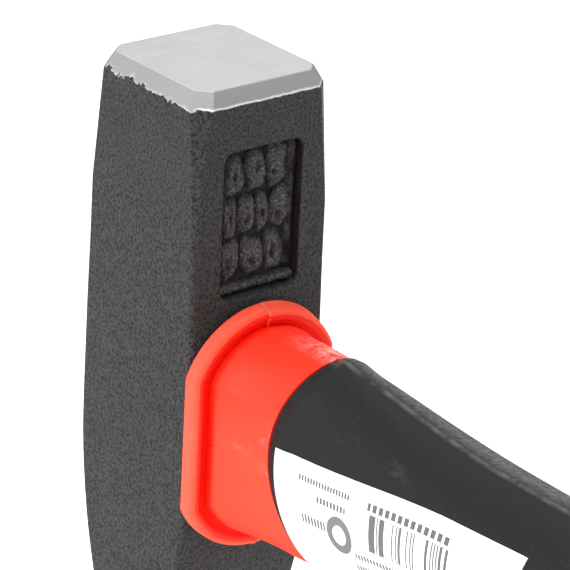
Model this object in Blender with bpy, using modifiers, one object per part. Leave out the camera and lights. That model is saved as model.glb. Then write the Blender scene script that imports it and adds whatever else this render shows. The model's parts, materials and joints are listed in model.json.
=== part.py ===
"""Cross-pein engineer's hammer with a moulded handle on a fibreglass core.

The hammer is modelled in its own axes: the origin is the middle of the striking face, +Z points out of
that face, and the handle runs along +X. An empty then leans everything back until the pein edge and the
butt of the handle both touch z = 0, which is how the hammer stands on a bench.
Lengths are in metres.
"""

import bmesh
import bpy
import numpy as np
from math import cos, pi, radians, sin, sqrt
from mathutils import Matrix, Vector

# Head; a share is a part of the head's length
HEAD_LENGTH = 0.105
HEAD_WIDTH = 0.0226
POLL_TAPER = 0.0004
POLL_DEPTH = 0.02325
EYE_DEPTH = 0.0247
EYE_SHARE = 0.4638
SHANK_SHARE = 0.1971
SHOULDER_SHARE = 0.2095
PEIN_SHARE = 0.381
PEIN_EDGE = 0.0036
PEIN_ROUNDING = 0.0097
CHAMFER_INSET = 0.0015
CHAMFER_INSET_FAR = 0.0009
CHAMFER_DROP = 0.0021
CORNER_CUT = 0.0022
CORNER_CUT_FACE = 0.0018
CORNER_CUT_LENGTH = 0.022
EDGE_ROUND = 0.0007

# Recessed panel on the handle side of the head, with plain raised pads
PANEL_WIDTH = 0.0132
PANEL_FROM_POLL = 0.0086
PANEL_DEPTH = 0.0012
PANEL_ABOVE_RIM = 0.0010
PANEL_CORNER = 0.0015
PAD_MARGIN = 0.0011
PAD_HEIGHT = 0.0009
PAD_ROWS = (3, 4, 3)
PAD_GAP = 0.0008

# Eye, core rod and bonding resin
EYE_HEIGHT = 0.0195
EYE_WIDTH = 0.0132
ROD_HEIGHT = 0.0105
ROD_WIDTH = 0.0080
ROD_FROM_BUTT = 0.0346
ROD_RISE = 0.0018
ROD_COVER = 0.0006
RESIN_RECESS = 0.0007
RESIN_CAP = 0.0024

# Moulded jacket: rim against the head, neck, and the body under the rubber
RIM_HEIGHT = 0.0358
RIM_OVERHANG = 0.0008
RIM_THICKNESS = 0.0026
RIM_ASIDE = -0.0005
RIM_END_RADIUS = 0.0131
RIM_ROUND = 0.0011
GROOVE_INSET = 0.0016
GROOVE_DEPTH = 0.0006
NECK_LENGTH = 0.0102
NECK_RISE = 0.0005

# Rubber grip and the handle's outline behind it
HANDLE_LENGTH = 0.300
RUBBER = 0.0020
GRIP_PROUD = 0.0002
FRONT_SETBACK_TOP = 0.0034
FRONT_SETBACK_BELLY = 0.0081
FRONT_BLEND = 0.022
BEAD_LENGTH = 0.0048
BEAD_HEIGHT = 0.0003
SHOULDER_HEIGHT = 0.0310
SHOULDER_WIDTH = 0.0164
WAIST_HEIGHT = 0.0198
WAIST_WIDTH = 0.0190
WAIST_FROM_GRIP_FRONT = 0.036
PALM_HEIGHT = 0.0255
PALM_WIDTH = 0.0208
PALM_FROM_BUTT = 0.044
HANDLE_RISE = 0.0027
BUTT_LENGTH = 0.022
BUTT_ROUND = 0.007
HANG_HOLE = 0.008

# Label on the side of the grip
LABEL_LENGTH = 0.0473
LABEL_HEIGHT = 0.024
LABEL_ROWS = 10
LABEL_FROM_FRONT = 0.0018
LABEL_TOP_FRONT = 0.0040
LABEL_TOP_REAR = 0.0066
LABEL_THICKNESS = 0.0002

CLEARANCE = 0.0003
SIDES = 36
SECTION_SQUARENESS = 2.12

# Places that follow from the sizes
eye_z = -EYE_SHARE * HEAD_LENGTH
shank = SHANK_SHARE * HEAD_LENGTH
shoulder = SHOULDER_SHARE * HEAD_LENGTH
head_side = EYE_DEPTH / 2
rim_back = head_side + CLEARANCE
rim_front = rim_back + RIM_THICKNESS
grip_front = rim_front + NECK_LENGTH
butt_end = HANDLE_LENGTH - head_side
grip_end = butt_end - BUTT_LENGTH
rod_z = eye_z + ROD_RISE
rod_start = RESIN_RECESS + RESIN_CAP + CLEARANCE - head_side
rod_end = butt_end - ROD_FROM_BUTT
rim_top = eye_z + RIM_HEIGHT / 2
poll_width = HEAD_WIDTH - POLL_TAPER

# The rod is made smaller where the jacket's waist would otherwise not cover it
waist_room = WAIST_HEIGHT / 2 - RUBBER - 2 * CLEARANCE - abs(NECK_RISE + HANDLE_RISE - ROD_RISE)
rod_height = min(ROD_HEIGHT, 2 * (waist_room - ROD_COVER))

parts = bpy.data.collections.new("cross_pein_hammer")
cutters = bpy.data.collections.new("cutters")


def clear_scene():
    for obj in list(bpy.data.objects):
        bpy.data.objects.remove(obj, do_unlink=True)
    for collection in (parts, cutters):
        bpy.context.scene.collection.children.link(collection)


def material(name, colour, roughness, metallic=0.0):
    made = bpy.data.materials.new(name)
    made.use_nodes = True
    shader = made.node_tree.nodes["Principled BSDF"]
    shader.inputs["Base Color"].default_value = (*colour, 1.0)
    shader.inputs["Roughness"].default_value = roughness
    shader.inputs["Metallic"].default_value = metallic
    return made


def add_part(name, bm, look, smooth_angle=35):
    """Turns a bmesh into a named part on the hammer's frame."""
    mesh = bpy.data.meshes.new(name)
    bmesh.ops.recalc_face_normals(bm, faces=bm.faces)
    bm.to_mesh(mesh)
    bm.free()
    mesh.materials.append(look)
    mesh.shade_smooth()
    mesh.set_sharp_from_angle(angle=radians(smooth_angle))
    obj = bpy.data.objects.new(name, mesh)
    obj.parent = hammer_frame
    parts.objects.link(obj)
    return obj


def add_cutter(name, bm):
    mesh = bpy.data.meshes.new(name)
    bmesh.ops.recalc_face_normals(bm, faces=bm.faces)
    bm.to_mesh(mesh)
    bm.free()
    obj = bpy.data.objects.new(name, mesh)
    obj.hide_render = True
    obj.display_type = "WIRE"
    obj.parent = hammer_frame
    cutters.objects.link(obj)
    return obj


def cut(obj, cutter):
    modifier = obj.modifiers.new("cut_" + cutter.name, "BOOLEAN")
    modifier.operation = "DIFFERENCE"
    modifier.solver = "EXACT"
    modifier.object = cutter


def outline_prism(points, across, axis):
    """A prism on a closed outline, centred on the plane through the origin across the given axis."""
    bm = bmesh.new()
    turn = {"X": lambda u, v: (-across / 2, u, v), "Y": lambda u, v: (u, -across / 2, v)}[axis]
    face = bm.faces.new([bm.verts.new(turn(u, v)) for u, v in points])
    moved = bmesh.ops.extrude_face_region(bm, geom=[face])["geom"]
    step = {"X": (across, 0, 0), "Y": (0, across, 0)}[axis]
    bmesh.ops.translate(bm, vec=step, verts=[v for v in moved if isinstance(v, bmesh.types.BMVert)])
    bmesh.ops.recalc_face_normals(bm, faces=bm.faces)
    return bm


def trim(bm, point, normal):
    """Cuts off what lies on the normal's side of a plane, and closes the cut."""
    geometry = bm.verts[:] + bm.edges[:] + bm.faces[:]
    bmesh.ops.bisect_plane(
        bm, geom=geometry, plane_co=point, plane_no=normal, clear_outer=True, dist=1e-7
    )
    open_edges = [edge for edge in bm.edges if edge.is_boundary]
    bmesh.ops.edgeloop_fill(bm, edges=open_edges)
    bmesh.ops.recalc_face_normals(bm, faces=bm.faces)


def trim_through(bm, a, b, c):
    """Trims by the plane through three points, taking away the side that faces out from the head's axis."""
    a, b, c = Vector(a), Vector(b), Vector(c)
    normal = (b - a).cross(c - a).normalized()
    outward = Vector((a.x + b.x + c.x, a.y + b.y + c.y, 0))
    trim(bm, a, normal if normal.dot(outward) > 0 else -normal)


def round_edges_along_y(bm, corner, width, segments):
    """Rounds the edges of a prism that run across it at (+-x, z)."""
    x, z = corner
    chosen = []
    for edge in bm.edges:
        one, two = edge.verts
        along = abs(one.co.x - two.co.x) < 1e-6 and abs(one.co.z - two.co.z) < 1e-6
        if along and abs(abs(one.co.x) - x) < 1e-6 and abs(one.co.z - z) < 1e-6:
            chosen.append(edge)
    bmesh.ops.bevel(
        bm, geom=chosen, offset=width, segments=segments, profile=0.5, affect="EDGES", material=-1
    )


def head_body():
    """The forged block, as its outline from the side swept across the width, with its corners cut."""
    knee = (PEIN_SHARE - 1) * HEAD_LENGTH
    side = [
        (POLL_DEPTH / 2, 0),
        (POLL_DEPTH / 2, -shank),
        (EYE_DEPTH / 2, -shank - shoulder),
        (EYE_DEPTH / 2, knee),
        (PEIN_EDGE / 2, -HEAD_LENGTH),
    ]
    outline = side + [(-x, z) for x, z in reversed(side)]
    bm = outline_prism(outline, HEAD_WIDTH, "Y")
    round_edges_along_y(bm, side[1], shoulder / 3, 3)
    round_edges_along_y(bm, side[2], shoulder / 3, 3)
    round_edges_along_y(bm, side[3], PEIN_ROUNDING, 7)
    round_edges_along_y(bm, side[4], PEIN_EDGE / 2 - 0.0002, 4)
    round_long_edges(bm)

    half_x, half_y = POLL_DEPTH / 2, poll_width / 2
    full_y = HEAD_WIDTH / 2
    for sy in (-1, 1):
        trim_through(
            bm, (0, sy * half_y, 0), (1, sy * half_y, 0), (0, sy * full_y, -shank)
        )
    for sx in (-1, 1):
        for sy in (-1, 1):
            trim_through(
                bm,
                (sx * (half_x - CORNER_CUT), sy * half_y, 0),
                (sx * half_x, sy * (half_y - CORNER_CUT), 0),
                (sx * half_x, sy * full_y, -CORNER_CUT_LENGTH),
            )
    inset_x = {1: CHAMFER_INSET, -1: CHAMFER_INSET_FAR}
    inset_y = {-1: CHAMFER_INSET, 1: CHAMFER_INSET_FAR}
    for sx in (-1, 1):
        trim(bm, (sx * half_x, 0, -CHAMFER_DROP), Vector((sx * CHAMFER_DROP, 0, inset_x[sx])))
    for sy in (-1, 1):
        trim(bm, (0, sy * half_y, -CHAMFER_DROP), Vector((0, sy * CHAMFER_DROP, inset_y[sy])))
    for sx in (-1, 1):
        for sy in (-1, 1):
            inner_x, inner_y = half_x - inset_x[sx], half_y - inset_y[sy]
            trim_through(
                bm,
                (sx * (inner_x - CORNER_CUT_FACE), sy * inner_y, 0),
                (sx * inner_x, sy * (inner_y - CORNER_CUT_FACE), 0),
                (sx * (half_x - CORNER_CUT / 2), sy * (half_y - CORNER_CUT / 2), -CHAMFER_DROP),
            )
    return bm


def round_long_edges(bm):
    """Takes the sharpness off the edges that run down the head, where cheek meets side."""
    sharp = []
    for edge in bm.edges:
        run = edge.verts[0].co - edge.verts[1].co
        if len(edge.link_faces) == 2 and abs(run.z) > 0.5 * run.length:
            if edge.calc_face_angle() > radians(25):
                sharp.append(edge)
    bmesh.ops.bevel(
        bm, geom=sharp, offset=EDGE_ROUND, segments=2, profile=0.5, affect="EDGES", material=-1
    )


def oval(width, height, squareness=SECTION_SQUARENESS):
    """An oval section, as its radius in each direction round the handle."""

    def radius(angle):
        across = abs(sin(angle)) / (width / 2)
        upright = abs(cos(angle)) / (height / 2)
        return (across**squareness + upright**squareness) ** (-1 / squareness)

    return radius


def rim_outline(inset=0.0):
    """The rim's section: an arc over the top and bottom, cut flat along both cheeks."""
    end_radius = RIM_END_RADIUS - inset
    centre = RIM_HEIGHT / 2 - RIM_END_RADIUS
    flat = HEAD_WIDTH / 2 + RIM_OVERHANG - inset

    def radius(angle):
        arc = centre * abs(cos(angle)) + sqrt(end_radius**2 - (centre * sin(angle)) ** 2)
        return min(arc, flat / max(abs(sin(angle)), 1e-9))

    return radius


def ring(x, z, section, aside=0.0):
    """Points round a section at distance x from the head's axis, centred at height z."""
    angles = [2 * pi * step / SIDES for step in range(SIDES)]
    return [(x, aside + section(a) * sin(a), z + section(a) * cos(a)) for a in angles]


def loft(rings, closed_loop=False):
    """One skin through rings of equal length; the ends are capped, or joined to each other."""
    bm = bmesh.new()
    rows = [[bm.verts.new(point) for point in points] for points in rings]
    pairs = list(zip(rows, rows[1:]))
    if closed_loop:
        pairs.append((rows[-1], rows[0]))
    for first, second in pairs:
        for i in range(SIDES):
            j = (i + 1) % SIDES
            bm.faces.new((first[i], first[j], second[j], second[i]))
    if not closed_loop:
        bm.faces.new(rows[0])
        bm.faces.new(rows[-1])
    return bm


def eased(x, stations):
    """A value along the handle, eased from each station to the next."""
    for (x0, v0), (x1, v1) in zip(stations, stations[1:]):
        if x <= x1:
            share = min(max((x - x0) / (x1 - x0), 0), 1)
            return v0 + (v1 - v0) * share * share * (3 - 2 * share)
    return stations[-1][1]


def handle_centre(x):
    """Height of the handle's middle line, which rises a little from the eye to the waist."""
    waist = grip_front + WAIST_FROM_GRIP_FRONT
    rise = [(rim_front, 0), (grip_front, NECK_RISE), (waist, NECK_RISE + HANDLE_RISE)]
    return eye_z + eased(x, rise)


def handle_size(x):
    """Width and height of the handle's outer surface, which the rubber has behind the neck."""
    waist = grip_front + WAIST_FROM_GRIP_FRONT
    palm = butt_end - PALM_FROM_BUTT
    width = eased(x, [(grip_front, SHOULDER_WIDTH), (waist, WAIST_WIDTH), (palm, PALM_WIDTH)])
    height = eased(x, [(grip_front, SHOULDER_HEIGHT), (waist, WAIST_HEIGHT), (palm, PALM_HEIGHT)])
    return width, height


def handle_radius(x, angle, inset=0.0):
    width, height = handle_size(x)
    return oval(width - 2 * inset, height - 2 * inset)(angle)


def handle_point(x, angle, inset=0.0):
    """A point on the handle's surface, or an inset below it; angle 0 is the top."""
    radius = handle_radius(x, angle, inset)
    return (x, radius * sin(angle), handle_centre(x) + radius * cos(angle))


def front_setback(angle):
    """How far the rubber's front edge bows back over the top and, further, under the belly."""
    upward = handle_radius(grip_front, angle) * cos(angle) / (SHOULDER_HEIGHT / 2)
    bow = (FRONT_SETBACK_BELLY + FRONT_SETBACK_TOP) / 2
    slant = (FRONT_SETBACK_BELLY - FRONT_SETBACK_TOP) / 2
    return bow * upward**2 - slant * upward


def place_behind(distance, angle):
    """Where a line that starts parallel to the rubber's front edge, and straightens out, meets an angle."""
    fade = max(1 - distance / FRONT_BLEND, 0)
    return grip_front + distance + front_setback(angle) * fade


def handle_ring(distance, inset=0.0):
    """Points round the handle, a distance behind the rubber's front edge."""
    angles = [2 * pi * step / SIDES for step in range(SIDES)]
    return [handle_point(place_behind(distance, a), a, inset) for a in angles]


def bead_height(distance):
    return BEAD_HEIGHT * max(1 - (2 * (distance - CLEARANCE) / BEAD_LENGTH - 1) ** 2, 0)


def bead_distances():
    return [CLEARANCE + share * BEAD_LENGTH for share in (0, 0.1, 0.3, 0.5, 0.7, 1)]


def body_distances():
    """Distances behind the front edge at which the handle is drawn past the bead."""
    to_waist = np.linspace(CLEARANCE + BEAD_LENGTH, WAIST_FROM_GRIP_FRONT, 8)
    to_end = np.linspace(WAIST_FROM_GRIP_FRONT, grip_end - grip_front, 10)
    return [float(x) for x in [*to_waist, *to_end[1:]]]


def head():
    obj = add_part("hammer_head", head_body(), material("black_paint", (0.035, 0.035, 0.037), 0.5))
    cut(obj, add_cutter("eye", eye_plug(EYE_WIDTH, EYE_HEIGHT, -EYE_DEPTH, EYE_DEPTH)))
    cut(obj, panel_cutter())
    return obj


def eye_plug(width, height, start, end):
    section = oval(width, height, 2.0)
    return loft([ring(start, eye_z, section), ring(end, eye_z, section)])


def panel_cutter():
    """The recess beside the rim, less the pads that stay standing in it."""
    bottom = rim_top + PANEL_ABOVE_RIM
    top = -PANEL_FROM_POLL
    height = top - bottom
    floor = POLL_DEPTH / 2 - PANEL_DEPTH
    bm = rounded_block(floor, 0.004, 0, (top + bottom) / 2, PANEL_WIDTH, height, PANEL_CORNER)
    cutter = add_cutter("panel", bm)
    pad_top = floor + PAD_HEIGHT
    pitch = (height - 2 * PAD_MARGIN) / len(PAD_ROWS)
    for row, count in enumerate(PAD_ROWS):
        z = top - PAD_MARGIN - pitch * (row + 0.5)
        width = (PANEL_WIDTH - 2 * PAD_MARGIN) / count
        for place in range(count):
            y = (place - (count - 1) / 2) * width
            size = width - PAD_GAP, pitch - PAD_GAP
            pad = rounded_block(floor - 0.001, 0.001 + PAD_HEIGHT, y, z, *size, min(size) * 0.3)
            cut(cutter, add_cutter(f"pad_{row}_{place}", pad))
    return cutter


def rounded_block(x, thickness, y, z, width, height, corner):
    """A block with its back at x and its four long edges rounded."""
    bm = bmesh.new()
    bmesh.ops.create_cube(bm, size=1.0)
    bmesh.ops.scale(bm, vec=(thickness, width, height), verts=bm.verts)
    edges = [e for e in bm.edges if abs(e.verts[0].co.x - e.verts[1].co.x) > thickness / 2]
    bmesh.ops.bevel(
        bm, geom=edges, offset=corner, segments=3, profile=0.5, affect="EDGES", material=-1
    )
    bmesh.ops.translate(bm, vec=(x + thickness / 2, y, z), verts=bm.verts)
    return bm


def core_rod():
    section = oval(ROD_WIDTH, rod_height, 2.0)
    bm = loft([ring(rod_start, rod_z, section), ring(rod_end, rod_z, section)])
    return add_part("core_rod", bm, material("fibreglass", (0.75, 0.72, 0.55), 0.4))


def eye_resin():
    """A cup of bonding resin round the rod, closed over its end."""
    outer = oval(EYE_WIDTH - 2 * CLEARANCE, EYE_HEIGHT - 2 * CLEARANCE, 2.0)
    inner = oval(ROD_WIDTH + 2 * CLEARANCE, rod_height + 2 * CLEARANCE, 2.0)
    cap = RESIN_RECESS - head_side
    rings = [
        ring(cap, eye_z, outer),
        ring(head_side, eye_z, outer),
        ring(head_side, rod_z, inner),
        ring(cap + RESIN_CAP, rod_z, inner),
    ]
    return add_part("eye_resin", loft(rings), material("resin", (0.02, 0.02, 0.02), 0.35))


def handle_jacket():
    """Rim, neck, body under the rubber and butt, in one moulding with a blind bore for the rod."""
    bore = oval(ROD_WIDTH + 2 * CLEARANCE, rod_height + 2 * CLEARANCE, 2.0)
    rings = [ring(rod_end + CLEARANCE, rod_z, bore), ring(rim_back, rod_z, bore)]
    rings.append(ring(rim_back, eye_z, rim_outline(), RIM_ASIDE))
    for step in range(5):
        angle = pi / 2 * step / 4
        x = rim_front - RIM_ROUND * (1 - sin(angle))
        rings.append(ring(x, eye_z, rim_outline(RIM_ROUND * (1 - cos(angle))), RIM_ASIDE))
    groove = rim_outline(RIM_ROUND + GROOVE_INSET)
    rings.append(ring(rim_front - GROOVE_DEPTH, eye_z, groove, RIM_ASIDE))
    rings += [neck_ring(step / 6) for step in range(7)]
    under = RUBBER + CLEARANCE
    butt_start = grip_end + CLEARANCE - grip_front
    rings += [handle_ring(distance, under) for distance in [0.0] + body_distances()[:-1] + [butt_start]]
    rings.append(handle_ring(butt_start))
    for step in range(6):
        angle = pi / 2 * step / 5 * 0.94
        distance = butt_end - grip_front - BUTT_ROUND * (1 - sin(angle))
        rings.append(handle_ring(distance, BUTT_ROUND * (1 - cos(angle))))
    obj = add_part("handle_jacket", loft(rings), material("red_plastic", (0.8, 0.06, 0.02), 0.38))
    cut(obj, hang_hole_cutter())
    return obj


def neck_ring(share):
    """A section of the neck, drawn in quickly behind the rim and more slowly towards the grip."""
    root = rim_outline(RIM_ROUND + GROOVE_INSET)
    weight = (1 - share) ** 2
    points = []
    for step in range(SIDES):
        angle = 2 * pi * step / SIDES
        x = rim_front + share * (place_behind(0, angle) - rim_front)
        radius = weight * root(angle) + (1 - weight) * handle_radius(x, angle, GRIP_PROUD)
        y = weight * RIM_ASIDE + radius * sin(angle)
        points.append((x, y, handle_centre(x) + radius * cos(angle)))
    return points


def hang_hole_cutter():
    bm = bmesh.new()
    bmesh.ops.create_cone(
        bm,
        cap_ends=True,
        segments=24,
        radius1=HANG_HOLE / 2,
        radius2=HANG_HOLE / 2,
        depth=2 * PALM_WIDTH,
        matrix=Matrix.Rotation(pi / 2, 4, "X"),
    )
    x = butt_end - BUTT_LENGTH / 2
    bmesh.ops.translate(bm, vec=(x, 0, handle_centre(x)), verts=bm.verts)
    return add_cutter("hang_hole", bm)


def rubber_grip():
    outer = [handle_ring(distance, -bead_height(distance)) for distance in bead_distances()]
    outer += [handle_ring(distance) for distance in body_distances()[1:]]
    inner = [handle_ring(distance, RUBBER) for distance in [CLEARANCE] + body_distances()]
    bm = loft(outer + inner[::-1], closed_loop=True)
    return add_part("rubber_grip", bm, material("black_rubber", (0.025, 0.025, 0.027), 0.65))


def label():
    """A printed sticker that follows the side of the grip and turns under its belly."""
    start = CLEARANCE + LABEL_FROM_FRONT
    end = start + LABEL_LENGTH
    stations = bead_distances() + body_distances()[1:]
    inside = [distance for distance in stations if start + 0.0005 < distance < end - 0.0005]
    bm = bmesh.new()
    columns = []
    for distance in [start] + inside + [end]:
        share = (distance - start) / LABEL_LENGTH
        above = LABEL_TOP_FRONT + (LABEL_TOP_REAR - LABEL_TOP_FRONT) * share
        columns.append([bm.verts.new(point) for point in label_column(distance, above)])
    for first, second in zip(columns, columns[1:]):
        for i in range(len(first) - 1):
            bm.faces.new((first[i], second[i], second[i + 1], first[i + 1]))
    obj = add_part("label", bm, material("white_paper", (0.85, 0.85, 0.85), 0.5), 60)
    skin = obj.modifiers.new("thickness", "SOLIDIFY")
    skin.thickness = LABEL_THICKNESS
    skin.offset = 1.0
    return obj


def label_column(distance, above):
    """Points down the near side of the grip, even steps apart, a clearance off its surface."""
    turn = radians(0.25)
    step = LABEL_HEIGHT / LABEL_ROWS
    off = -CLEARANCE - bead_height(distance)
    angle = 0.0
    while handle_radius(place_behind(distance, angle), angle, off) * cos(angle) > above:
        angle += turn
    points = []
    for _ in range(LABEL_ROWS + 1):
        x, y, z = handle_point(place_behind(distance, angle), angle, off)
        points.append((x, -y, z))
        travelled = 0.0
        while travelled < step:
            angle += turn
            next_y, next_z = handle_point(x, angle, off)[1:]
            travelled += sqrt((next_y - y) ** 2 + (next_z - z) ** 2)
            y, z = next_y, next_z
    return points


def lowest(objects, lean):
    turned = Matrix.Rotation(lean, 3, "Y")
    return min((turned @ vertex.co).z for obj in objects for vertex in obj.data.vertices)


def stand_up(front, back):
    """Leans the hammer until the pein edge and the handle touch the ground together."""
    low, high = 0.0, radians(30)
    for _ in range(50):
        lean = (low + high) / 2
        if lowest(front, lean) < lowest(back, lean):
            low = lean
        else:
            high = lean
    hammer_frame.rotation_euler.y = lean
    turned = Matrix.Rotation(lean, 3, "Y")
    placed = [turned @ vertex.co for obj in front + back for vertex in obj.data.vertices]
    along = [point.x for point in placed]
    across = [point.y for point in placed]
    middle = (min(along) + max(along)) / 2, (min(across) + max(across)) / 2
    hammer_frame.location = (-middle[0], -middle[1], -lowest(front, lean))


clear_scene()
hammer_frame = bpy.data.objects.new("hammer_frame", None)
parts.objects.link(hammer_frame)
head_part = head()
eye_resin()
core_rod()
jacket_part = handle_jacket()
grip_part = rubber_grip()
label()
stand_up([head_part], [jacket_part, grip_part])
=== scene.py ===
import json
from math import atan2, cos, pi, radians, sin, sqrt

import bmesh
import bpy
from mathutils import Matrix, Vector, noise


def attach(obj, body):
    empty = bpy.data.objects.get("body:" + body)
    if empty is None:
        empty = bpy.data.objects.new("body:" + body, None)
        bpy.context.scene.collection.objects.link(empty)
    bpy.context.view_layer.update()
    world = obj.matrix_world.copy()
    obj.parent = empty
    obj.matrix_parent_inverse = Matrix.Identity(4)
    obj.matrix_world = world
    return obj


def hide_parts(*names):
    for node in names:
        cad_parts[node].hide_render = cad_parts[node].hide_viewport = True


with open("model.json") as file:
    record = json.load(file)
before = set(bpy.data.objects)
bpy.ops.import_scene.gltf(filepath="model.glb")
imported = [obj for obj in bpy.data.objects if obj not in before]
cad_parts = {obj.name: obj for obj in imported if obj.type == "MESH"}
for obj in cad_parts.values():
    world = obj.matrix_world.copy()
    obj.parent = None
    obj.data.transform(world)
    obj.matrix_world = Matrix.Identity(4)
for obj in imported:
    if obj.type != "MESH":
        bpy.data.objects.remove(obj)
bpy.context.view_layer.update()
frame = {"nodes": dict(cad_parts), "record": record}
print("frame loaded:", ", ".join(frame["nodes"]))

# The hammer leans back on its pein edge, so every piece is made upright in the hammer's own axes
# (origin in the middle of the striking face, Z out of it, X along the handle) and then placed.
strikingFace = next(m for m in frame["record"]["mounts"] if m["name"] == "striking_face")
lean = atan2(strikingFace["axis"][0], strikingFace["axis"][2])
hammerPlace = Matrix.Translation(strikingFace["pos_m"]) @ Matrix.Rotation(lean, 4, "Y")

headSizes = {
    "length": 0.105,
    "width": 0.0226,
    "pollWidth": 0.0222,
    "pollDepth": 0.02325,
    "eyeDepth": 0.0247,
    "eyeFromPoll": 0.0487,
    "pollShank": 0.0207,
    "shoulder": 0.022,
    "peinLength": 0.040,
    "peinEdge": 0.0036,
    "peinFlat": 0.0004,
    "peinRounding": 0.0097,
    "chamferInset": 0.0015,
    "chamferInsetFar": 0.0009,
    "chamferDrop": 0.0021,
    "cornerCut": 0.0022,
    "cornerCutOnFace": 0.0018,
    "cornerCutLength": 0.022,
    "edgeRound": 0.0007,
    "rimSoftening": 0.0001,
    "eyeHeight": 0.0195,
    "eyeWidth": 0.0132,
}
panelSizes = {
    "width": 0.0132,
    "fromPoll": 0.0086,
    "depth": 0.0012,
    "aboveRim": 0.0010,
    "corner": 0.0015,
    "channelFar": 0.0020,
    "channelLow": 0.0024,
    "rows": (3, 4, 3),
    "markHeight": 0.00110,
    "marginFar": 0.0004,
    "marginTop": 0.0007,
    "wallGap": 0.0001,
    "barFromLow": 0.00125,
    "barWidth": 0.0016,
    "barEndFromFar": 0.0006,
    "ribFromFar": 0.00125,
    "ribWidth": 0.0014,
    "ribEndFromLow": 0.0028,
    "roughness": 0.00018,
}
rimSizes = {
    "height": 0.0358,
    "overhang": 0.0008,
    "thickness": 0.0026,
    "aside": -0.0005,
    "endRadius": 0.0131,
    "round": 0.0011,
    "edgeBreak": 0.0003,
    "grooveInset": 0.0016,
    "grooveDepth": 0.0006,
    "seam": 0.00022,
    "seamAside": -0.0004,
    "seamStep": 0.0004,
    "seamWidth": 0.0005,
}
handleSizes = {
    "length": 0.300,
    "neckLength": 0.0102,
    "neckRise": 0.0005,
    "neckRidge": 0.00015,
    "rise": 0.0027,
    "shoulderHeight": 0.0310,
    "shoulderWidth": 0.0164,
    "waistHeight": 0.0198,
    "waistWidth": 0.0190,
    "waistFromFront": 0.036,
    "palmHeight": 0.0255,
    "palmWidth": 0.0208,
    "palmFromButt": 0.044,
    "buttLength": 0.022,
    "buttRound": 0.007,
    "buttRoundShare": 0.94,
    "edgeBreak": 0.0003,
    "hangHole": 0.008,
    "squareness": 2.12,
}
gripSizes = {
    "thickness": 0.0020,
    "proud": 0.0002,
    "gap": 0.0003,
    "setbackTop": 0.0034,
    "setbackBelly": 0.0081,
    "setbackFade": 0.022,
    "beadLength": 0.0048,
    "beadHeight": 0.0003,
    "lip": 0.0005,
    "endBreak": 0.0005,
    "endTuck": 0.0004,
    "ridgeHeight": 0.00025,
    "ridgeWidth": 0.0009,
}
eyeZ = -headSizes["eyeFromPoll"]
headSide = headSizes["eyeDepth"] / 2
rimBack = headSide + gripSizes["gap"]
rimFront = rimBack + rimSizes["thickness"]
gripFront = rimFront + handleSizes["neckLength"]
buttEnd = handleSizes["length"] - headSide
gripEnd = buttEnd - handleSizes["buttLength"]
rimTop = eyeZ + rimSizes["height"] / 2
panelLow = rimTop + panelSizes["aboveRim"]
panelTop = -panelSizes["fromPoll"]
panelFloor = headSizes["pollDepth"] / 2 - panelSizes["depth"]


def makePiece(name, bm, finish, replaced=(), smoothAngle=40):
    # a mesh object from this bmesh, tied to the body and standing for the CAD nodes it replaces
    bmesh.ops.recalc_face_normals(bm, faces=bm.faces)
    mesh = bpy.data.meshes.new(name)
    bm.to_mesh(mesh)
    bm.free()
    mesh.materials.append(finish)
    mesh.shade_smooth()
    mesh.set_sharp_from_angle(angle=radians(smoothAngle))
    piece = bpy.data.objects.new(name, mesh)
    bpy.context.scene.collection.objects.link(piece)
    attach(piece, "root")
    if replaced:
        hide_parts(*replaced)
    return piece


def applyModifiers(piece):
    # bakes the modifier stack into the mesh, so that the place can be put into the mesh as well
    graph = bpy.context.evaluated_depsgraph_get()
    baked = bpy.data.meshes.new_from_object(piece.evaluated_get(graph), depsgraph=graph)
    baked.name = piece.name
    piece.modifiers.clear()
    piece.data = baked


def placePiece(piece):
    piece.data.transform(hammerPlace)
    piece.data.update()


def cutWith(piece, bm, name):
    bmesh.ops.recalc_face_normals(bm, faces=bm.faces)
    mesh = bpy.data.meshes.new(name)
    bm.to_mesh(mesh)
    bm.free()
    cutter = bpy.data.objects.new(name, mesh)
    bpy.context.scene.collection.objects.link(cutter)
    modifier = piece.modifiers.new(name, "BOOLEAN")
    modifier.operation = "DIFFERENCE"
    modifier.object = cutter
    applyModifiers(piece)
    bpy.data.objects.remove(cutter)


def roundedBlock(centre, size, corner, segments=4):
    # a block along X whose four long edges are rounded
    bm = bmesh.new()
    bmesh.ops.create_cube(bm, size=1.0)
    bmesh.ops.scale(bm, vec=size, verts=bm.verts)
    edges = [e for e in bm.edges if abs(e.verts[0].co.x - e.verts[1].co.x) > size[0] / 2]
    bmesh.ops.bevel(
        bm, geom=edges, offset=corner, segments=segments, profile=0.5, affect="EDGES", material=-1
    )
    bmesh.ops.translate(bm, vec=centre, verts=bm.verts)
    return bm


# Sections across the handle. An outline gives the radius in a direction round the handle (0 is up),
# and a ring gives the point in that direction.

def oval(width, height, squareness=None):
    power = squareness or handleSizes["squareness"]

    def radius(angle):
        across = abs(sin(angle)) / (width / 2)
        upright = abs(cos(angle)) / (height / 2)
        return (across**power + upright**power) ** (-1 / power)

    return radius


def rimOutline(inset=0.0):
    endRadius = rimSizes["endRadius"] - inset
    centre = rimSizes["height"] / 2 - rimSizes["endRadius"]
    flat = headSizes["width"] / 2 + rimSizes["overhang"] - inset

    def radius(angle):
        arc = centre * abs(cos(angle)) + sqrt(endRadius**2 - (centre * sin(angle)) ** 2)
        return min(arc, flat / max(abs(sin(angle)), 1e-9))  # straight up there is no flat to meet

    return radius


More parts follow.
